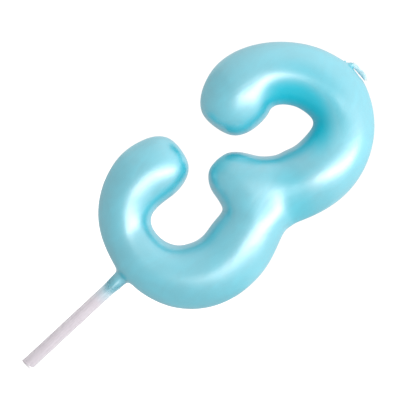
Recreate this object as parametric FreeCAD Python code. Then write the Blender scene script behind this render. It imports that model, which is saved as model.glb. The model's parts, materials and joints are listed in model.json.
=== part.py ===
import FreeCAD, Part
import math
import os

# A number birthday candle: a fat, rounded wax 3 with a thin pearl coat, on a hollow stick, with a cotton
# wick folded over on its crown. Millimetres. The origin is on the stick's axis, where the coat ends and
# the bare stick begins. +Z is up, the front of the number faces -Y, and +X is its right-hand side.

Vector = FreeCAD.Vector
UP = Vector(0, 0, 1)
ACROSS = Vector(0, 1, 0)

# The number, measured over its coat
number_height = 70.0
number_width = 42.0
stroke_share = 0.1845       # the wax stroke's radius where it is heaviest, as a share of the number's width
coat_thickness = 0.25
waist_dip = 1.5             # the valley between the limbs stays this far in from them
sleeve_length = 6.5         # how far the coat runs down the stick
sections_per_limb = 18
sections_per_dome = 5
dome_pole_degrees = 6.0     # a round end closes with a small flat, this far from its pole

# The stick, a hollow tube
stick_radius = 1.45
stick_bore_radius = 0.9
stick_bare_length = 22.9
stick_depth = 8.0           # set in the wax
stick_grip_radius = 1.3     # the held end narrows to this
stick_cut_degrees = 14.0    # the lower end is cut at a slant
plug_length = 4.8           # wax that ran down inside the stick
sleeve_wall = 0.25
root_fillet = 0.5           # coat gathered where the stick enters

# The wick
wick_radius = 0.45
wick_film = 0.12            # coat on the free end
wick_depth = 11.0           # set in the wax
wick_at = 0.3               # to the right of the stick's axis
wick_free_length = 4.9      # from the fold to the tip
wick_droop_degrees = 1.0    # the free end leans down to the right
wick_clearance = 0.18
collar_radius = 2.1         # coat gathered round the wick's root
collar_height = 0.75

# The stroke's centreline, limb by limb: across is a share of half the centreline's width, up is a share
# of its height, and weight is a share of stroke_radius.
crown_weight = 0.91
foot_weight = 0.755
upper_limb = [
    (-0.925, 0.695, 0.96),
    (-0.975, 0.755, 0.99),
    (-0.93, 0.83, 0.93),
    (-0.745, 0.905, 0.89),
    (-0.39, 0.97, 0.89),
    (0.115, 1.0, crown_weight),
    (0.50, 0.979, 0.88),
    (0.775, 0.926, 0.90),
    (0.945, 0.845, 0.96),
    (1.0, 0.76, 1.0),
    (0.93, 0.675, 1.0),
    (0.77, 0.595, 1.0),
    (0.51, 0.53, 0.95),
    (0.11, 0.485, 0.755),
]
lower_limb = [
    (0.36, 0.50, 0.68),
    (0.69, 0.45, 0.92),
    (0.87, 0.395, 0.985),
    (1.0, 0.32, 0.98),
    (1.03, 0.245, 0.98),
    (0.98, 0.16, 0.975),
    (0.82, 0.085, 0.94),
    (0.505, 0.027, 0.85),
    (0.05, 0.0, foot_weight),
    (-0.31, 0.006, 0.715),
    (-0.66, 0.045, 0.74),
    (-0.90, 0.115, 0.81),
    (-1.0, 0.195, 0.885),
    (-1.01, 0.25, 0.91),
    (-0.977, 0.29, 0.88),
]

waist_fill_from = -4        # the station of the upper limb, and of the lower one, that the waist's fill joins
waist_fill_to = 2

stroke_radius = stroke_share * number_width
centreline_half_width = number_width / 2 - stroke_radius - coat_thickness
centreline_height = number_height - (crown_weight + foot_weight) * stroke_radius - 2 * coat_thickness
number_bottom = sleeve_length
centreline_bottom = number_bottom + coat_thickness + foot_weight * stroke_radius
free_wick_radius = wick_radius + wick_film


def section(centre, direction, radius):
    """A round section of a limb, square to its centreline."""
    ring = Part.makeCircle(radius)
    side = ACROSS.cross(direction)
    ring.Placement = FreeCAD.Placement(centre, FreeCAD.Rotation(side, ACROSS, direction, "ZXY"))
    return Part.Wire([ring])


def dome_sections(centre, outward, direction, radius):
    """Sections of a round end, from near its pole back towards the limb."""
    sections = []
    for step in range(sections_per_dome):
        turn = math.radians(dome_pole_degrees + (90 - dome_pole_degrees) * step / sections_per_dome)
        middle = centre + outward * (radius * math.cos(turn))
        sections.append(section(middle, direction, radius * math.sin(turn)))
    return sections


def limb(stations, skin):
    """One stretch of the number: round sections along its centreline, grown by skin, with round ends."""
    curve = Part.BSplineCurve()
    curve.interpolate([
        Vector(across * centreline_half_width,
               weight * stroke_radius,
               centreline_bottom + up * centreline_height)
        for across, up, weight in stations
    ])
    first, last = curve.FirstParameter, curve.LastParameter
    spots = []
    for step in range(sections_per_limb):
        at = first + (last - first) * step / (sections_per_limb - 1)
        point = curve.value(at)
        heading = curve.tangent(at)[0]
        direction = Vector(heading.x, 0, heading.z).normalize()
        spots.append((Vector(point.x, 0, point.z), direction, point.y + skin))
    start_centre, start_direction, start_radius = spots[0]
    end_centre, end_direction, end_radius = spots[-1]
    sections = dome_sections(start_centre, start_direction * -1, start_direction, start_radius)
    sections += [section(*spot) for spot in spots]
    sections += reversed(dome_sections(end_centre, end_direction, end_direction, end_radius))
    return Part.makeLoft(sections, True, False)


def waist_fill():
    """Stations of the short fat stretch that fills the valley between the limbs on their outer side."""
    weight = 1.0 - waist_dip / stroke_radius
    above, below = upper_limb[waist_fill_from], lower_limb[waist_fill_to]
    middle = [(above[0] + below[0]) / 2, (above[1] + below[1]) / 2]
    return [(above[0], above[1], weight), (middle[0], middle[1], weight), (below[0], below[1], weight)]


def number_body(skin):
    """The whole number: both limbs meet in the waist and the middle prong."""
    return limb(upper_limb, skin).fuse([limb(lower_limb, skin), limb(waist_fill(), skin)]).Solids[0]


def turned(profile):
    """A solid of revolution about the stick's axis from (radius, height) points, closed on themselves."""
    points = [Vector(radius, 0, height) for radius, height in profile]
    face = Part.Face(Part.makePolygon(points + points[:1]))
    return face.revolve(Vector(), UP, 360)


def stick_outside():
    """The stick's outer form: a straight bare length, then the narrowing held end."""
    tip_margin = stick_radius * math.tan(math.radians(stick_cut_degrees))
    bare = Part.makeCylinder(stick_radius, stick_bare_length + tip_margin,
                             Vector(0, 0, -stick_bare_length - tip_margin))
    held = Part.makeCone(stick_radius, stick_grip_radius, number_bottom + stick_depth)
    return bare.fuse(held)


def slant_cutter():
    """A block whose top face cuts the stick's end at a slant, lower on the left."""
    size = 10 * stick_radius
    block = Part.makeBox(size, size, size, Vector(-size / 2, -size / 2, -size))
    block.rotate(Vector(), ACROSS, -stick_cut_degrees)
    block.translate(Vector(0, 0, -stick_bare_length))
    return block


def stick():
    bore_length = stick_bare_length * 2 + number_bottom + stick_depth
    bore = Part.makeCylinder(stick_bore_radius, bore_length, Vector(0, 0, -stick_bare_length * 1.5))
    return stick_outside().cut(bore).cut(slant_cutter())


def crown_top():
    """Height of the coat's surface where the wick comes out."""
    probe = Part.makeLine(Vector(wick_at, 0, centreline_bottom + centreline_height),
                          Vector(wick_at, 0, number_bottom + 2 * number_height))
    return number_body(coat_thickness).common(probe).BoundBox.ZMax


def wick_root(crown):
    """The part of the wick that stands in the wax, up to just under the fold."""
    height = wick_depth + free_wick_radius - wick_radius
    return Part.makeCylinder(wick_radius, height, Vector(wick_at, 0, crown - wick_depth))


def fold_height(crown):
    """Height of the hinge axis through the fold."""
    return crown + 2 * free_wick_radius - wick_radius + wick_clearance


def free_wick(crown, radius, length, start=0.0):
    """A round length of the free end, from the fold out to the right."""
    heading = Vector(math.cos(math.radians(wick_droop_degrees)), 0, -math.sin(math.radians(wick_droop_degrees)))
    pivot = Vector(wick_at, 0, fold_height(crown))
    return Part.makeCylinder(radius, length - start, pivot + heading * start, heading)


def wick_end(crown):
    pivot = Vector(wick_at, 0, fold_height(crown))
    return free_wick(crown, wick_radius, wick_free_length).fuse(Part.makeSphere(wick_radius, pivot))


def wick_coat(crown):
    """The thin coat on the free end, open at the tip where the cotton shows."""
    start = free_wick_radius
    bare_tip = wick_film
    return (free_wick(crown, free_wick_radius, wick_free_length - bare_tip, start)
            .cut(wick_end(crown)))


def collar(crown):
    """Coat gathered round the wick's root, open on the right where the free end lies."""
    base = crown - 2 * coat_thickness
    cone = Part.makeCone(collar_radius, free_wick_radius, collar_height + 2 * coat_thickness,
                         Vector(wick_at, 0, base))
    reach = free_wick_radius + wick_clearance
    room = Part.makeCylinder(reach, 2 * collar_radius, Vector(wick_at, -collar_radius, fold_height(crown)), ACROSS)
    lane = Part.makeBox(2 * collar_radius, 2 * collar_radius, 2 * collar_height,
                        Vector(wick_at, -collar_radius, fold_height(crown) - reach))
    return cone.cut(room).cut(lane)


def sleeve():
    """Coat on the top of the stick, thinning downwards and gathered under the number."""
    bottom_edge = stick_radius + sleeve_wall / 5
    full = stick_radius + sleeve_wall
    profile = [(0, 0), (bottom_edge, 0), (full, number_bottom / 3), (full, number_bottom - root_fillet)]
    steps = 5
    for step in range(1, steps + 1):
        turn = math.pi / 2 * step / steps
        profile.append((full + root_fillet * (1 - math.cos(turn)),
                        number_bottom - root_fillet * (1 - math.sin(turn))))
    profile += [(full + root_fillet, number_bottom + root_fillet), (0, number_bottom + root_fillet)]
    return turned(profile)


def wax_core(body, root):
    """The cast number, with its socket for the stick, the plug that ran into the stick and the wick's hole."""
    plug = Part.makeCylinder(stick_bore_radius, plug_length + stick_depth, Vector(0, 0, number_bottom - plug_length))
    return body.fuse(plug).cut(stick()).cut(root)


def pearl_coat(body, root, crown):
    outside = number_body(coat_thickness).fuse([sleeve(), collar(crown)])
    return outside.cut(body).cut(stick_outside()).cut(root)


def build():
    crown = crown_top()
    body = number_body(0.0)
    root = wick_root(crown)
    print("fold at", wick_at, 0, round(fold_height(crown), 3))
    return {
        "wax_core": wax_core(body, root),
        "pearl_coat": pearl_coat(body, root, crown),
        "stick": stick(),
        "wick_root": root,
        "wick_end": wick_end(crown),
        "wick_coat": wick_coat(crown),
    }


os.makedirs("parts", exist_ok=True)
for name, shape in build().items():
    shape.exportStep(os.path.join("parts", name + ".step"))
    print(name, shape.ShapeType, "solids", len(shape.Solids), "valid", shape.isValid(),
          "volume", round(shape.Volume, 2))
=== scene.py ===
import json
import math
import random

import bmesh
import bpy
from mathutils import Matrix, Quaternion, Vector


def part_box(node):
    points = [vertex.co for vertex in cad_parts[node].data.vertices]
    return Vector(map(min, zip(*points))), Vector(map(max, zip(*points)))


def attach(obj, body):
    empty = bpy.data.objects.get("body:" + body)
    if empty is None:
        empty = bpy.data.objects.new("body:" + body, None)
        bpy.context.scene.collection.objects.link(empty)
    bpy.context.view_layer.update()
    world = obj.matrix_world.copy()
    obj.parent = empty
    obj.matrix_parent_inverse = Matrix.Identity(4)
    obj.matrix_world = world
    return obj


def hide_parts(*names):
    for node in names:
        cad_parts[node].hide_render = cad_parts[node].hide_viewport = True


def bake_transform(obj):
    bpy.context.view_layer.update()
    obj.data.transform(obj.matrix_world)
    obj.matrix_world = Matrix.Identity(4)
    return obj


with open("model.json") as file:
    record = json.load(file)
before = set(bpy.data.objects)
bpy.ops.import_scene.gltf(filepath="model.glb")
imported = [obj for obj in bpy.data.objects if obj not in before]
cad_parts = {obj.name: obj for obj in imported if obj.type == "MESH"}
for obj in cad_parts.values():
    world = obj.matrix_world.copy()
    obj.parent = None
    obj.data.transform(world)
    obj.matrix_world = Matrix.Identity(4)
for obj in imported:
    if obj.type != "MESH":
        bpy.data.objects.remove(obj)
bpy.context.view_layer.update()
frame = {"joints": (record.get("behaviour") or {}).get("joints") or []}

mm = 0.001
coreLow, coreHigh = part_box("wax_core")
stickLow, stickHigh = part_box("stick")
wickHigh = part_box("wick_end")[1]
fold = Vector(frame["joints"][0]["pos_m"])    # the wick bends here
print("frame loaded")


# small helpers

def deselectAll():
    if bpy.context.object and bpy.context.object.mode != "OBJECT":
        bpy.ops.object.mode_set(mode="OBJECT")
    bpy.ops.object.select_all(action="DESELECT")


def keepOnly(piece):
    deselectAll()
    piece.select_set(True)
    bpy.context.view_layer.objects.active = piece


def startEdit(piece):
    keepOnly(piece)
    bpy.ops.object.mode_set(mode="EDIT")
    bpy.ops.mesh.select_mode(type="FACE")


def pickFaces(test):
    # selects the faces whose middle and normal pass the test
    bpy.ops.mesh.select_all(action="DESELECT")
    cage = bmesh.from_edit_mesh(bpy.context.object.data)
    for face in cage.faces:
        face.select_set(bool(test(face.calc_center_median(), face.normal)))
    bmesh.update_edit_mesh(bpy.context.object.data)


def pickCorners(test):
    # selects the corners that pass the test
    bpy.ops.mesh.select_mode(type="VERT")
    bpy.ops.mesh.select_all(action="DESELECT")
    cage = bmesh.from_edit_mesh(bpy.context.object.data)
    for corner in cage.verts:
        corner.select_set(bool(test(corner.co)))
    cage.select_flush_mode()
    bmesh.update_edit_mesh(bpy.context.object.data)


def pickedPoints():
    cage = bmesh.from_edit_mesh(bpy.context.object.data)
    return [corner.co.copy() for corner in cage.verts if corner.select]


def finishPiece(piece, name):
    deselectAll()
    keepOnly(piece)
    bpy.ops.object.transform_apply(location=True, rotation=True, scale=True)
    piece.name = piece.data.name = name
    return piece


def applyAll(piece):
    keepOnly(piece)
    for modifier in list(piece.modifiers):
        bpy.ops.object.modifier_apply(modifier=modifier.name)


def subdivide(piece, levels):
    modifier = piece.modifiers.new("smooth", "SUBSURF")
    modifier.levels = modifier.render_levels = levels
    applyAll(piece)


# the number: one stroke of eight-sided rings, with the middle prong and the roots of stick and wick drawn out

number = {
    "height": 70.0,
    "depthShare": 0.97,        # the stroke is a little flatter from front to back than across
    "lean": 0.65,              # the left-hand limbs are fullest this far to the left of their middle
    "pull": 0.9024,            # a smoothed eight-sided ring is this share of its cage
    "levels": 3,
    "coat": 0.25,
    # ring centres across and up from the stick's entry, the half width of the stroke there, and its half
    # depth where that differs
    "upperStroke": [
        (-11.8, 45.5, 7.95), (-12.42, 48.6, 8.0), (-12.35, 51.4, 7.8), (-11.2, 54.7, 7.35),
        (-8.9, 57.8, 7.15), (-5.9, 60.3, 7.15), (-2.9, 61.8, 7.2), (0.3, 62.6, 7.25), (3.6, 62.6, 7.25),
        (7.0, 61.4, 7.05),
        (9.9, 58.9, 7.15), (11.8, 55.4, 7.55), (12.8, 51.4, 7.9), (12.8, 47.2, 8.0)],
    # at the waist a ring also has its turn and its own half depth
    "waist": [
        (11.8, 43.2, 8.0, 200, 7.25), (11.15, 39.3, 7.2, 198, 6.45), (11.25, 36.65, 6.6, 187, 6.4),
        (11.25, 34.3, 6.3, 180, 6.95), (11.3, 31.95, 6.6, 171, 7.4), (11.6, 29.0, 7.2, 158, 7.75)],
    "lowerStroke": [
        (12.7, 24.8, 7.85), (13.42, 20.6, 7.84, 7.4), (13.1, 16.3, 7.8, 7.2), (11.5, 12.4, 7.65, 7.05),
        (8.9, 9.3, 7.25, 6.85),
        (6.1, 7.5, 6.8), (3.1, 6.45, 6.4), (0.0, 6.05, 6.1), (-3.1, 6.3, 5.9), (-6.2, 7.2, 5.85),
        (-9.0, 8.9, 6.05, 6.2), (-11.2, 11.5, 6.4, 6.75), (-12.6, 14.8, 6.9, 7.1), (-13.15, 18.6, 7.3, 7.1),
        (-12.7, 22.3, 7.25, 6.9)],
    # a round end: share of the radius, and how far past the last ring in radii
    "dome": [(0.86, 0.56), (0.46, 0.96)],
    # the middle prong: across, up, half height, half depth
    "prongPull": 0.98,
    "prong": [(3.8, 35.3, 8.9, 7.5), (1.4, 34.1, 7.1, 7.1), (-0.6, 33.6, 6.4, 6.5), (-3.0, 33.4, 4.9, 5.1),
              (-4.8, 33.35, 2.5, 2.7)],
    # the coat down the stick, and the coat up the wick: radius, height, shift across, and depth where it
    # differs
    "stickNeck": [(2.9, 0.15, 0), (2.0, -0.2, 0), (1.74, -0.7, 0), (1.70, -1.6, 0), (1.68, -3.4, 0),
                  (1.60, -5.4, 0), (1.47, -6.5, 0)],
    "wickNeck": [(3.3, 69.7, 1.1, 1.7), (2.6, 69.88, 1.2, 1.0), (1.25, 70.0, 0.2, 0.8),
                 (0.8, 70.38, 0.22, 0.68), (0.62, 70.72, 0.3, 0.62)],
    # the wax that ran down inside the stick
    "plugNeck": [(2.2, 0.55, 0), (0.95, 0.2, 0), (0.87, -1.0, 0), (0.87, -4.0, 0), (0.86, -4.75, 0)],
}
bottomZ = coreHigh.z / mm + number["coat"] - number["height"]


def place(across, up):
    return Vector((across * mm, 0, (bottomZ + up) * mm))


def strokeRings(shape, skin):
    # centre, turn, half width and half depth of each ring, in order along the stroke
    plain = shape["upperStroke"] + [ring[:3] for ring in shape["waist"]] + shape["lowerStroke"]
    spots = [Vector(ring[:3]) for ring in plain]
    rings = []
    turn = None
    waistStart = len(shape["upperStroke"])
    for at, spot in enumerate(spots):
        before = spots[max(at - 1, 0)]
        after = spots[min(at + 1, len(spots) - 1)]
        heading = after - before
        drawn = spot - (before - 2 * spot + after) / 6 if 0 < at < len(spots) - 1 else spot
        angle = math.degrees(math.atan2(heading.x, heading.y))
        half = drawn.z + skin
        deep = plain[at][3] + skin if len(plain[at]) > 3 else half * shape["depthShare"]
        waistAt = at - waistStart
        if 0 <= waistAt < len(shape["waist"]):
            angle = shape["waist"][waistAt][3]
            deep = shape["waist"][waistAt][4] + skin
        if turn is not None:
            angle = turn + (angle - turn + 180) % 360 - 180
        turn = angle
        rings.append([drawn.x, drawn.y, math.radians(angle), half / shape["pull"], deep / shape["pull"]])
    return withDomes(rings, shape)


def withDomes(rings, shape):
    whole = list(rings)
    for end, way in ((0, -1), (-1, 1)):
        across, up, turn, half, deep = rings[end]
        for share, reach in shape["dome"]:
            ahead = way * reach * half * shape["pull"]
            ring = [across + ahead * math.sin(turn), up + ahead * math.cos(turn), turn, half * share,
                    deep * share]
            if way < 0:
                whole.insert(0, ring)
            else:
                whole.append(ring)
    return whole


def extrudeTo(shift, turn, centre, growAcross, growDeep):
    bpy.ops.mesh.extrude_region_move(TRANSFORM_OT_translate={"value": shift})
    # with no window a rotation runs the other way
    bpy.ops.transform.rotate(value=-turn, orient_axis="Y", orient_type="GLOBAL", center_override=centre)
    bpy.ops.transform.resize(value=(growAcross, growDeep, growAcross), center_override=centre)


def drawStroke(rings):
    across, up, turn, half, deep = rings[0]
    start = place(across, up)
    bpy.ops.mesh.primitive_circle_add(vertices=8, radius=half * mm, fill_type="NGON", location=start,
                                      rotation=(0, turn, 0))
    piece = bpy.context.object
    finishPiece(piece, "stroke")
    startEdit(piece)
    bpy.ops.mesh.select_all(action="SELECT")
    bpy.ops.transform.resize(value=(1, deep / half, 1), center_override=start)
    for last, ring in zip(rings, rings[1:]):
        centre = place(ring[0], ring[1])
        shift = centre - place(last[0], last[1])
        extrudeTo(shift, ring[2] - last[2], centre, ring[3] / last[3], ring[4] / last[4])
    return piece


def drawNeck(steps, flatAxis, open):
    # draws the picked patch out through flat rings, given as (centre, half width, half depth)
    def grown(half, deep):
        return (1, deep, half) if flatAxis == "X" else (half, deep, 1)

    centre, half, deep = steps[0]
    bpy.ops.mesh.dissolve_faces()
    bpy.ops.transform.resize(value=[0 if axis == flatAxis else 1 for axis in "XYZ"], center_override=centre)
    bpy.ops.transform.tosphere(value=1.0)
    points = pickedPoints()
    middle = sum(points, Vector()) / len(points)
    reach = (points[0] - middle).length
    bpy.ops.transform.translate(value=centre - middle)
    bpy.ops.transform.resize(value=grown(half / reach, deep / reach), center_override=centre)
    for last, step in zip(steps, steps[1:]):
        bpy.ops.mesh.extrude_region_move(TRANSFORM_OT_translate={"value": step[0] - last[0]})
        bpy.ops.transform.resize(value=grown(step[1] / last[1], step[2] / last[2]), center_override=step[0])
    if open:
        bpy.ops.mesh.delete(type="FACE")


def roundSteps(steps, shape):
    # neck rings from (radius, height, shift across) with an optional half depth
    cage = mm / shape["pull"]
    return [(place(step[2], step[1]), step[0] * cage, step[-1] * cage if len(step) > 3 else step[0] * cage)
            for step in steps]


def numberCage(name, shape, skin, stickSteps, wickSteps, open):
    piece = drawStroke(strokeRings(shape, skin))
    pickCorners(lambda corner: abs(corner.y) > 6.0 * mm and corner.x < -9.5 * mm)
    bpy.ops.transform.translate(value=(-shape["lean"] * mm, 0, 0))
    bpy.ops.mesh.select_mode(type="FACE")
    # the middle prong comes out of the inner half of the waist
    lowest, highest = place(0, 27.5).z, place(0, 45).z
    pickFaces(lambda middle, normal: lowest < middle.z < highest and normal.x < -0.25
              and mm < middle.x < 12.5 * mm)
    bpy.ops.mesh.extrude_region_move(TRANSFORM_OT_translate={"value": (-mm, 0, 0)})
    cage = mm / shape["prongPull"]
    drawNeck([(place(across, up), (half + skin) * cage, (deep + skin) * cage)
              for across, up, half, deep in shape["prong"]], "X", False)
    # the coat gathers round the stick, and round the wick
    pickFaces(lambda middle, normal: abs(middle.x) < 2.6 * mm and normal.z < -0.7
              and middle.z < place(0, 4).z)
    bpy.ops.mesh.inset(thickness=0.9 * mm, depth=0)
    drawNeck(roundSteps(stickSteps, shape), "Z", open)
    if wickSteps:
        pickFaces(lambda middle, normal: abs(middle.x - fold.x) < 2.8 * mm and normal.z > 0.7
                  and middle.z > place(0, 66).z)
        bpy.ops.mesh.inset(thickness=1.0 * mm, depth=0)
        drawNeck(roundSteps(wickSteps, shape), "Z", open)
    finishPiece(piece, name)
    subdivide(piece, shape["levels"])
    bpy.ops.object.shade_smooth()
    return piece


def makeWaxNumber():
    wax = numberCage("waxNumber", number, -number["coat"] - 0.1, number["plugNeck"], None, False)
    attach(wax, "candle")
    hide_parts("wax_core")
    return wax


def makePearlCoat():
    coat = numberCage("pearlCoat", number, 0.0, number["stickNeck"], number["wickNeck"], True)
    # the coat is thin over the wax, and no thicker than its room round the stick and the wick
    group = coat.vertex_groups.new(name="thickness")
    stickRadius, wickRadius = stickHigh.x, (wickHigh.z - fold.z)
    for corner in coat.data.vertices:
        room = 1.0
        if corner.co.z < place(0, -0.3).z:
            room = (math.hypot(corner.co.x, corner.co.y) - stickRadius) / (number["coat"] * mm)
        if corner.co.z > place(0, 70.2).z:
            room = (math.hypot(corner.co.x - fold.x, corner.co.y) - wickRadius) / (number["coat"] * mm)
        group.add([corner.index], min(1.0, max(0.08, room)), "REPLACE")
    wall = coat.modifiers.new("wall", "SOLIDIFY")
    wall.thickness = number["coat"] * mm
    wall.offset = -1
    wall.vertex_group = "thickness"
    applyAll(coat)
    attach(coat, "candle")
    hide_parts("pearl_coat")
    return coat


# the stick: a hollow tube, narrower where it is held, cut at a slant below

stick = {"sides": 64, "radius": 1.45, "heldRadius": 1.3, "wall": 0.55, "heldWall": 0.4, "cutDegrees": 14.0,
         "bareLength": 22.9, "heldLength": 14.4, "heldRings": (3.0, 8.0), "edge": 0.06}


def makeStick():
    slant = math.radians(stick["cutDegrees"])
    deepest = stick["bareLength"] + stick["radius"] * math.tan(slant)
    length = deepest + stick["heldLength"]
    bpy.ops.mesh.primitive_cylinder_add(
        vertices=stick["sides"], radius=stick["radius"] * mm, depth=length * mm, end_fill_type="NOTHING",
        location=(0, 0, (length / 2 - deepest) * mm))
    tube = bpy.context.object
    finishPiece(tube, "stickTube")
    startEdit(tube)
    for height in (0.0, *stick["heldRings"]):
        bpy.ops.mesh.select_all(action="SELECT")
        bpy.ops.mesh.bisect(plane_co=(0, 0, height * mm), plane_no=(0, 0, 1))
    narrow = stick["heldRadius"] / stick["radius"]
    for height in (*stick["heldRings"], stick["heldLength"]):
        pickCorners(lambda corner: abs(corner.z - height * mm) < 0.01 * mm)
        share = 1 + (narrow - 1) * height / stick["heldLength"]
        bpy.ops.transform.resize(value=(share, share, 1), center_override=(0, 0, 0))
    bpy.ops.mesh.select_all(action="SELECT")
    bpy.ops.mesh.bisect(plane_co=(0, 0, -stick["bareLength"] * mm),
                        plane_no=(-math.sin(slant), 0, math.cos(slant)), clear_inner=True)
    bpy.ops.object.mode_set(mode="OBJECT")
    group = tube.vertex_groups.new(name="thickness")
    for corner in tube.data.vertices:
        held = min(1.0, max(0.0, corner.co.z / (stick["heldLength"] * mm)))
        group.add([corner.index], 1 + (stick["heldWall"] / stick["wall"] - 1) * held, "REPLACE")
    wall = tube.modifiers.new("wall", "SOLIDIFY")
    wall.thickness, wall.offset, wall.vertex_group = stick["wall"] * mm, -1, "thickness"
    edge = tube.modifiers.new("edge", "BEVEL")
    edge.width, edge.segments = stick["edge"] * mm, 2
    edge.limit_method, edge.angle_limit = "ANGLE", math.radians(40)
    applyAll(tube)
    bpy.ops.object.shade_smooth_by_angle(angle=math.radians(35))
    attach(tube, "candle")
    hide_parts("stick")
    return tube


# the wick: three twisted plies up out of the crown and folded over to the right, with a film of coat on them

wick = {"buried": 3.0, "bend": 0.55, "length": 4.8, "sag": 0.38, "sagFrom": 2.5, "plies": 3,
        "plyRadius": 0.235,
        "plyReach": 0.205, "pitch": 2.1, "steps": 90, "fibres": 9, "fibreRadius": 0.022, "fibreLength": 0.4,
        "filmRadius": 0.53, "filmDrop": 0.05, "filmTall": 1.08, "filmFrom": 0.1, "filmTo": 4.92, "seed": 4}


def wickPath(at):
    # the place and heading of the wick's middle, that far along it in mm from the start of its bend
    turnLength = wick["bend"] * math.pi / 2
    low = fold.z / mm - wick["bend"]
    if at < 0:
        return Vector((fold.x / mm, 0, low + at)), Vector((0, 0, 1))
    if at < turnLength:
        turn = at / wick["bend"]
        spot = Vector((fold.x / mm + wick["bend"] * (1 - math.cos(turn)), 0,
                       low + wick["bend"] * math.sin(turn)))
        return spot, Vector((math.sin(turn), 0, math.cos(turn)))
    run = at - turnLength
    hang = max(0.0, run - wick["sagFrom"])
    reach = wick["length"] - wick["sagFrom"] - wick["bend"]
    slope = -2 * wick["sag"] * hang / reach ** 2
    spot = Vector((fold.x / mm + wick["bend"] + run, 0, fold.z / mm - wick["sag"] * (hang / reach) ** 2))
    return spot, Vector((1, 0, slope)).normalized()


def drawTube(name, points, radii, depth, sides):
    data = bpy.data.curves.new(name, "CURVE")
    data.dimensions, data.use_fill_caps = "3D", True
    data.bevel_depth, data.bevel_resolution = depth * mm, sides
    spline = data.splines.new("POLY")
    spline.points.add(len(points) - 1)
    for knot, point, radius in zip(spline.points, points, radii):
        knot.co, knot.radius = (*(point * mm), 1), radius
    tube = bpy.data.objects.new(name, data)
    bpy.context.scene.collection.objects.link(tube)
    keepOnly(tube)
    bpy.ops.object.convert(target="MESH")
    return bpy.context.object


def besidePath(at, reach, turn):
    spot, heading = wickPath(at)
    side = Vector((0, 1, 0))
    return spot + (side * math.cos(turn) + heading.cross(side) * math.sin(turn)) * reach


def makeWick():
    chance = random.Random(wick["seed"])
    ending = wick["length"] - wick["bend"] + wick["bend"] * math.pi / 2
    strands = []
    for ply in range(wick["plies"]):
        points, radii = [], []
        for step in range(wick["steps"] + 1):
            at = -wick["buried"] + (ending + wick["buried"] - 0.1 * ply) * step / wick["steps"]
            turn = 2 * math.pi * (at / wick["pitch"] + ply / wick["plies"])
            points.append(besidePath(at, wick["plyReach"], turn))
            radii.append(1 + 0.05 * math.sin(at * 9 + ply))
        strands.append(drawTube("wickPly", points, radii, wick["plyRadius"], 3))
    for fibre in range(wick["fibres"]):
        turn = 2 * math.pi * fibre / wick["fibres"] + chance.uniform(-0.3, 0.3)
        reach = chance.uniform(0.08, 0.36)
        length = wick["fibreLength"] * chance.uniform(0.45, 1)
        points = [
            besidePath(ending - 0.5 + length * step / 5, reach * (1 + 0.22 * step / 5), turn + 0.1 * step)
            for step in range(6)]
        strands.append(drawTube("wickFibre", points, [1, 1, 0.95, 0.8, 0.6, 0.3], wick["fibreRadius"], 1))
    deselectAll()
    for strand in strands:
        strand.select_set(True)
    bpy.context.view_layer.objects.active = strands[0]
    bpy.ops.object.join()
    cord = finishPiece(bpy.context.object, "cottonWick")
    bpy.ops.object.shade_smooth()
    blendWick(cord)
    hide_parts("wick_root", "wick_end")
    return cord


def makeWickFilm():
    span = wick["filmTo"] - wick["filmFrom"]
    points, radii = [], []
    for step in range(41):
        at = wick["filmFrom"] + span * step / 40
        points.append(wickPath(at)[0] + Vector((0, 0, -wick["filmDrop"])))
        lump = 0.03 * math.sin(at * 2.3 + 0.5) + 0.02 * math.sin(at * 5.1)
        ends = min(1.0, 0.72 + 0.6 * step / 8, 0.66 + 0.34 * math.sqrt((40 - step) / 8))
        radii.append((1 + lump) * ends)
    film = finishPiece(drawTube("wickFilm", points, radii, wick["filmRadius"], 5), "wickFilm")
    startEdit(film)
    bpy.ops.mesh.select_all(action="SELECT")
    low = (fold.x, 0, fold.z - wick["filmDrop"] * mm)
    bpy.ops.transform.resize(value=(1, 1, wick["filmTall"]), center_override=low)
    finishPiece(film, "wickFilm")
    subdivide(film, 1)
    bpy.ops.object.shade_smooth()
    blendWick(film)
    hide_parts("wick_coat")
    return film


def blendWick(piece):
    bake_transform(piece)


waxNumber = makeWaxNumber()
pearlCoat = makePearlCoat()
print("number done")
stickTube = makeStick()
cottonWick = makeWick()
wickFilm = makeWickFilm()
print("stick and wick done")


# materials

class Value:
    # a number that comes from a socket, so that sums on it add their own Math nodes
    def __init__(self, sheet, socket):
        self.sheet, self.socket = sheet, socket

    def math(self, operation, *others):
        return Value(self.sheet, self.sheet.add("ShaderNodeMath", {"operation": operation}, [self, *others]))

    def __add__(self, other): return self.math("ADD", other)
    def __radd__(self, other): return self.math("ADD", other)
    def __sub__(self, other): return self.math("SUBTRACT", other)
    def __rsub__(self, other): return self.sheet.number(other).math("SUBTRACT", self)
    def __mul__(self, other): return self.math("MULTIPLY", other)
    def __rmul__(self, other): return self.math("MULTIPLY", other)
    def __truediv__(self, other): return self.math("DIVIDE", other)
    def __pow__(self, other): return self.math("POWER", other)

    def between(self, low, high):
        # 0 at low, 1 at high, smooth in between
        settings = {"interpolation_type": "SMOOTHSTEP"}
        limits = {"Value": self, "From Min": low, "From Max": high}
        return Value(self.sheet, self.sheet.add("ShaderNodeMapRange", settings, limits))


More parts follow.
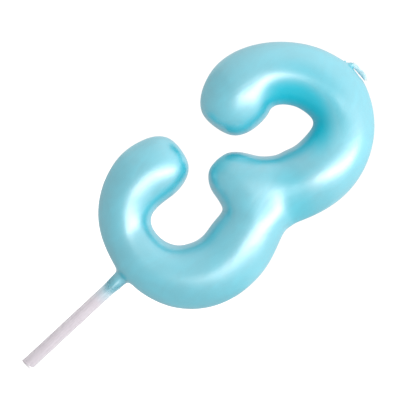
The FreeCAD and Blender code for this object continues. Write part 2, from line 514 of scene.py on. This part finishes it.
class Sheet:
    # the node sheet of a material or of the world
    def __init__(self, owner):
        owner.use_nodes = True
        self.tree = owner.node_tree
        self.tree.nodes.clear()

    def node(self, kind, settings=None, values=None):
        made = self.tree.nodes.new(kind)
        for name, value in (settings or {}).items():
            if name == "stops":
                self.setStops(made.color_ramp, value)
            else:
                setattr(made, name, value)
        pairs = values.items() if isinstance(values, dict) else enumerate(values or [])
        for name, value in pairs:
            value = value.socket if isinstance(value, Value) else value
            if isinstance(value, bpy.types.NodeSocket):
                self.tree.links.new(value, made.inputs[name])
            else:
                made.inputs[name].default_value = value
        return made

    def add(self, kind, settings=None, values=None, output=0):
        return self.node(kind, settings, values).outputs[output]

    def setStops(self, ramp, stops):
        while len(ramp.elements) < len(stops):
            ramp.elements.new(0.5)
        for element, (place, colour) in zip(ramp.elements, stops):
            element.position, element.color = place, (*colour, 1)

    def number(self, value):
        return Value(self, self.add("ShaderNodeMath", {"operation": "ADD"}, [value, 0.0]))

    def mixColour(self, factor, first, second, blend="MIX"):
        return self.add("ShaderNodeMix", {"data_type": "RGBA", "blend_type": blend, "clamp_factor": True},
                        {0: factor, 6: first, 7: second}, 2)


def finish(name, build):
    # a material whose nodes are laid out by build, which returns its shader
    material = bpy.data.materials.new(name)
    sheet = Sheet(material)
    sheet.node("ShaderNodeOutputMaterial", None, [build(sheet)])
    return material


def principled(sheet, values):
    return sheet.add("ShaderNodeBsdfPrincipled", None, values)


def noise(sheet, spot, scale, detail=2.0, roughness=0.5, warp=0.0):
    return Value(sheet, sheet.add("ShaderNodeTexNoise", None, {
        "Vector": spot, "Scale": scale, "Detail": detail, "Roughness": roughness, "Distortion": warp}))


def objectSpot(sheet, stretch=(1, 1, 1)):
    # object coordinates in millimetres, squeezed along each axis by stretch
    coordinates = sheet.node("ShaderNodeTexCoord").outputs["Object"]
    scaled = tuple(1 / mm * share for share in stretch)
    return sheet.add("ShaderNodeVectorMath", {"operation": "MULTIPLY"}, [coordinates, scaled])


def axes(sheet, spot):
    apart = sheet.node("ShaderNodeSeparateXYZ", None, [spot])
    return [Value(sheet, apart.outputs[axis]) for axis in "XYZ"]


def bumped(sheet, height, depth, strength=1.0):
    # a normal from a height of 0 to 1 that stands for that depth in mm
    return sheet.add("ShaderNodeBump", None, {"Height": height, "Distance": depth * mm, "Strength": strength})


def near(sheet, spot, centre, reach):
    # 1 at the centre, fading to 0 at that reach in mm
    apart = sheet.node("ShaderNodeVectorMath", {"operation": "DISTANCE"}, [spot, centre])
    return Value(sheet, apart.outputs["Value"]).between(reach, 0.0)


def beside(sheet, across, up):
    # distance from a line that runs through the number from front to back
    offset = sheet.add("ShaderNodeCombineXYZ", None, [across, 0.0, up])
    length = sheet.node("ShaderNodeVectorMath", {"operation": "LENGTH"}, [offset])
    return Value(sheet, length.outputs["Value"])


pearl = {
    "deep": (0.002, 0.41, 0.53), "pale": (0.005, 0.49, 0.63), "clearDipAndShade": (0.001, 0.50, 0.64),
    # painted shade colour for the root of the stick
    "rootShadeColour": (0.008, 0.30, 0.42),
    "roughness": 0.37, "ior": 3.2, "coat": 0.35, "coatRoughness": 0.18, "sheen": 0.06,
    "sheenTint": (0.95, 0.86, 0.93),
    "flakeScale": 9.0, "flakeDepth": 0.006, "flowDepth": 0.07,
    # how far the clear, deeper dip is mixed in: dip that gathered in the crook of the bay, and painted shade
    # (less gloss, deeper colour) there, over the crown, in the valley and on the prong
    "crookDipAndShade": 0.85, "crown": 0.35, "valley": 0.3, "tip": 0.6,
    "edgeTop": 4.6, "edgeBottom": -0.2,
}
wax = {"deep": (0.01, 0.33, 0.47), "pale": (0.03, 0.46, 0.60), "roughness": 0.42, "ior": 1.44}
# the plug's tint is the wax inside the tube, made lighter as painted light against the coat's shade
tube = {"clear": (0.72, 0.655, 0.71), "milky": (0.79, 0.73, 0.78), "plugTintLit": (0.42, 0.75, 0.85),
        "roughness": 0.3, "ior": 1.49, "alpha": 0.74}
cotton = {"light": (0.90, 0.89, 0.87), "dark": (0.68, 0.66, 0.62), "waxed": (0.74, 0.85, 0.89),
          "roughness": 0.7}
film = {"pale": (0.66, 0.86, 0.92), "deep": (0.46, 0.76, 0.85), "roughness": 0.25, "ior": 1.6,
        "thin": 0.72, "thick": 0.95}


def pearlCoatFinish(sheet):
    spot = objectSpot(sheet)
    across, _, up = axes(sheet, spot)
    cloud = noise(sheet, spot, 0.09, 3.0, 0.55, 0.6)
    flow = noise(sheet, objectSpot(sheet, (1.0, 1.0, 0.35)), 0.22, 3.0, 0.6, 1.2)
    flakes = noise(sheet, spot, pearl["flakeScale"], 1.0)
    depth = (cloud * 0.6 + flow * 0.4).between(0.34, 0.66)
    colour = sheet.mixColour(depth, (*pearl["deep"], 1), (*pearl["pale"], 1))
    # painted shade: darker round where the stick goes in. The dip thins to a pointed edge below
    root = (1.6, -1.0, 5.4)
    rootShadeShare = near(sheet, spot, root, 1.9) * 0.75
    colour = sheet.mixColour(rootShadeShare, colour, (*pearl["rootShadeColour"], 1))
    # painted glints: pale specks where the pearl flakes catch the light
    paintedFlakeGlint = flakes.between(0.60, 0.74) * 0.10
    colour = sheet.mixColour(paintedFlakeGlint, colour, (0.55, 0.85, 0.95, 1))
    ragged = across.math("ABSOLUTE").math("MINIMUM", 1.6) * 0.7 + noise(sheet, spot, 0.8) * 0.8
    cover = (up - ragged).between(pearl["edgeBottom"], pearl["edgeTop"])
    lay = bumped(sheet, flow * 0.75 + cloud * 0.25, pearl["flowDepth"])
    fine = sheet.add("ShaderNodeBump", None, {
        "Height": flakes, "Distance": pearl["flakeDepth"] * mm, "Normal": lay})
    flaky = principled(sheet, {
        "Base Color": colour,
        "Roughness": pearl["roughness"] + (flow - 0.5) * 0.12 - flakes.between(0.55, 0.8) * 0.06,
        "IOR": pearl["ior"], "Coat Weight": pearl["coat"] + (cloud - 0.5) * 0.2,
        "Coat Roughness": pearl["coatRoughness"], "Sheen Weight": pearl["sheen"], "Sheen Roughness": 0.35,
        "Sheen Tint": (*pearl["sheenTint"], 1), "Alpha": cover, "Normal": fine})
    # the dip lies clear and deep, with few flakes at its surface, in the crook of the upper bay; there and
    # over the crown this mix is also painted shade, with less gloss and a deeper colour
    height = up - bottomZ
    bay = beside(sheet, across - 0.4, height - 50.5)
    crook = bay.between(11.5, 7.5) * height.between(47.0, 55.0) * pearl["crookDipAndShade"]
    crown = bay.between(15.5, 10.5) * height.between(56.0, 62.0) * pearl["crown"]
    # and painted shade the same way in the valley between the two limbs, and round the tip of the middle
    # prong
    slope = (across - 13.0) * 0.25
    valley = beside(sheet, (across - 13.0) / 10.5, (height - 40.4 + slope) / 6.0)
    tip = beside(sheet, across + 5.2, height - 33.2)
    clearDipAndShade = crook.math("MAXIMUM", crown)
    clearDipAndShade = clearDipAndShade.math("MAXIMUM", valley.between(1.0, 0.2) * pearl["valley"])
    clearDipAndShade = clearDipAndShade.math("MAXIMUM", tip.between(4.8, 1.2) * pearl["tip"])
    # the clear dip, low in gloss and deeper in colour, is also painted shade where it is mixed in
    clear = principled(sheet, {
        "Base Color": (*pearl["clearDipAndShade"], 1), "Roughness": 0.4, "IOR": 1.3, "Alpha": cover, "Normal": fine})
    return sheet.add("ShaderNodeMixShader", None, [clearDipAndShade, flaky, clear])


def waxFinish(sheet):
    spot = objectSpot(sheet)
    cloud = noise(sheet, spot, 0.25, 4.0, 0.6, 0.8)
    grain = noise(sheet, spot, 5.0, 2.0)
    colour = sheet.mixColour(cloud.between(0.3, 0.7), (*wax["deep"], 1), (*wax["pale"], 1))
    return principled(sheet, {
        "Base Color": colour, "Roughness": wax["roughness"] + (grain - 0.5) * 0.2, "IOR": wax["ior"],
        "Normal": bumped(sheet, cloud * 0.7 + grain * 0.3, 0.06)})


def stickFinish(sheet):
    spot = objectSpot(sheet)
    up = axes(sheet, spot)[2]
    streaks = noise(sheet, objectSpot(sheet, (1.0, 1.0, 0.03)), 2.6, 3.0, 0.6)
    haze = noise(sheet, spot, 0.35, 3.0)
    scuffs = noise(sheet, objectSpot(sheet, (1.0, 1.0, 0.15)), 6.0, 2.0)
    drawn = (streaks * 0.6 + haze * 0.4).between(0.35, 0.65)
    colour = sheet.mixColour(drawn, (*tube["clear"], 1), (*tube["milky"], 1))
    # wax inside the top of the tube shows through it, in a tint made lighter as painted light against the
    # shade the coat casts there
    plugAndLightShare = (up + (haze - 0.5) * 1.5).between(-2.6, 3.6) * 0.85
    colour = sheet.mixColour(plugAndLightShare, colour, (*tube["plugTintLit"], 1))
    return principled(sheet, {
        "Base Color": colour, "Roughness": tube["roughness"] + (scuffs - 0.5) * 0.25, "IOR": tube["ior"],
        "Alpha": tube["alpha"] + (streaks - 0.5) * 0.1,
        "Normal": bumped(sheet, streaks * 0.8 + scuffs * 0.2, 0.03)})


def cottonFinish(sheet):
    spot = objectSpot(sheet)
    yarn = noise(sheet, objectSpot(sheet, (0.35, 1.4, 1.4)), 12.0, 3.0, 0.65, 0.4)
    soaked = noise(sheet, spot, 1.1, 2.0)
    colour = sheet.mixColour(yarn.between(0.35, 0.65), (*cotton["dark"], 1), (*cotton["light"], 1))
    colour = sheet.mixColour(soaked.between(0.45, 0.7) * 0.6, colour, (*cotton["waxed"], 1))
    return principled(sheet, {
        "Base Color": colour, "Roughness": cotton["roughness"] - soaked.between(0.45, 0.7) * 0.3,
        "Sheen Weight": 0.3, "Normal": bumped(sheet, yarn, 0.05)})


def wickFilmFinish(sheet):
    spot = objectSpot(sheet)
    lumps = noise(sheet, spot, 1.3, 3.0, 0.6)
    colour = sheet.mixColour(lumps.between(0.35, 0.65), (*film["deep"], 1), (*film["pale"], 1))
    return principled(sheet, {
        "Base Color": colour, "Roughness": film["roughness"], "IOR": film["ior"], "Coat Weight": 0.5,
        "Alpha": lumps.between(0.3, 0.65) * (film["thick"] - film["thin"]) + film["thin"],
        "Normal": bumped(sheet, lumps, 0.12)})


for piece, name, build in (
        (pearlCoat, "pearlDip", pearlCoatFinish), (waxNumber, "dyedWax", waxFinish),
        (stickTube, "milkyTube", stickFinish),
        (cottonWick, "waxedCotton", cottonFinish), (wickFilm, "pearlFilm", wickFilmFinish)):
    piece.data.materials.clear()
    piece.data.materials.append(finish(name, build))
print("materials done")


# camera and light

view = {"across": 1.08, "up": 24.5, "frame": 93.1, "lens": 120, "roll": 47.1}


def setCamera():
    data = bpy.data.cameras.new("camera")
    data.lens = view["lens"]
    data.sensor_width = 36
    camera = bpy.data.objects.new("camera", data)
    bpy.context.scene.collection.objects.link(camera)
    distance = view["frame"] * mm * view["lens"] / data.sensor_width
    target = place(view["across"], view["up"])
    facing = Matrix.Rotation(math.radians(90), 4, "X") @ Matrix.Rotation(math.radians(view["roll"]), 4, "Z")
    camera.matrix_world = Matrix.Translation(target - Vector((0, distance, 0))) @ facing
    data.clip_start, data.clip_end = 0.01, 20
    bpy.context.scene.camera = camera


def areaLight(name, azimuth, elevation, distance, size, power, roll):
    data = bpy.data.lights.new(name, "AREA")
    data.shape = "RECTANGLE"
    data.size, data.size_y = size
    data.energy = power
    lamp = bpy.data.objects.new(name, data)
    bpy.context.scene.collection.objects.link(lamp)
    a, e = math.radians(azimuth), math.radians(elevation)
    back = Vector((math.sin(a) * math.cos(e), -math.cos(a) * math.cos(e), math.sin(e)))
    lamp.location = place(0, 35) + back * distance
    lamp.rotation_mode = "QUATERNION"
    lamp.rotation_quaternion = (-back).to_track_quat("-Z", "Y") @ Quaternion((0, 0, 1), math.radians(roll))
    return lamp


def setStage():
    world = bpy.data.worlds.new("studio")
    bpy.context.scene.world = world
    sheet = Sheet(world)
    # a white room, brighter above and on the right, dimmer below
    coordinates = sheet.node("ShaderNodeTexCoord")
    apart = sheet.node("ShaderNodeSeparateXYZ", None, [coordinates.outputs["Generated"]])
    rightward, upward = Value(sheet, apart.outputs["X"]), Value(sheet, apart.outputs["Z"])
    lift = upward.between(0.2, 1.0) * studio["topLift"] + rightward.between(0.0, 1.0) * studio["sideLift"]
    dim = (0.0 - upward).between(0.0, 1.0) * studio["lowDim"]
    white = (1, 1, 1, 1)
    strength = lift - dim + studio["room"]
    room = sheet.add("ShaderNodeBackground", None, {"Color": white, "Strength": strength})
    plain = sheet.add("ShaderNodeBackground", None, {"Color": white, "Strength": studio["backdrop"]})
    seen = sheet.node("ShaderNodeLightPath").outputs["Is Camera Ray"]
    both = sheet.add("ShaderNodeMixShader", None, [seen, room, plain])
    sheet.node("ShaderNodeOutputWorld", None, [both])
    bpy.ops.mesh.primitive_circle_add(vertices=96, radius=1.5, fill_type="NGON", location=(0, 0, stickLow.z))
    floor = bpy.context.object
    floor.name = "floor"
    paint = bpy.data.materials.new("paleFloor")
    sheet = Sheet(paint)
    pale = sheet.add("ShaderNodeBsdfPrincipled", None, {
        "Base Color": (0.95, 0.95, 0.95, 1), "Roughness": 0.9, "Specular IOR Level": 0.1,
        "Emission Color": (1, 1, 1, 1), "Emission Strength": studio["floorGlow"]})
    dim = sheet.add("ShaderNodeBsdfDiffuse", None, [(*(studio["floorDim"],) * 3, 1)])
    seen = sheet.node("ShaderNodeLightPath").outputs["Is Camera Ray"]
    sheet.node("ShaderNodeOutputMaterial", None, [sheet.add("ShaderNodeMixShader", None, [seen, dim, pale])])
    floor.data.materials.append(paint)
    bpy.context.scene.view_settings.view_transform = "Standard"


studio = {"room": 0.85, "topLift": 0.4, "lowDim": 0.55, "sideLift": 0.25, "backdrop": 1.05, "floorGlow": 0.2,
          "floorDim": 0.53}
areaLight("keySoftbox", 33, 12, 0.6, (0.78, 0.16), 2.15, 40)
setCamera()
setStage()
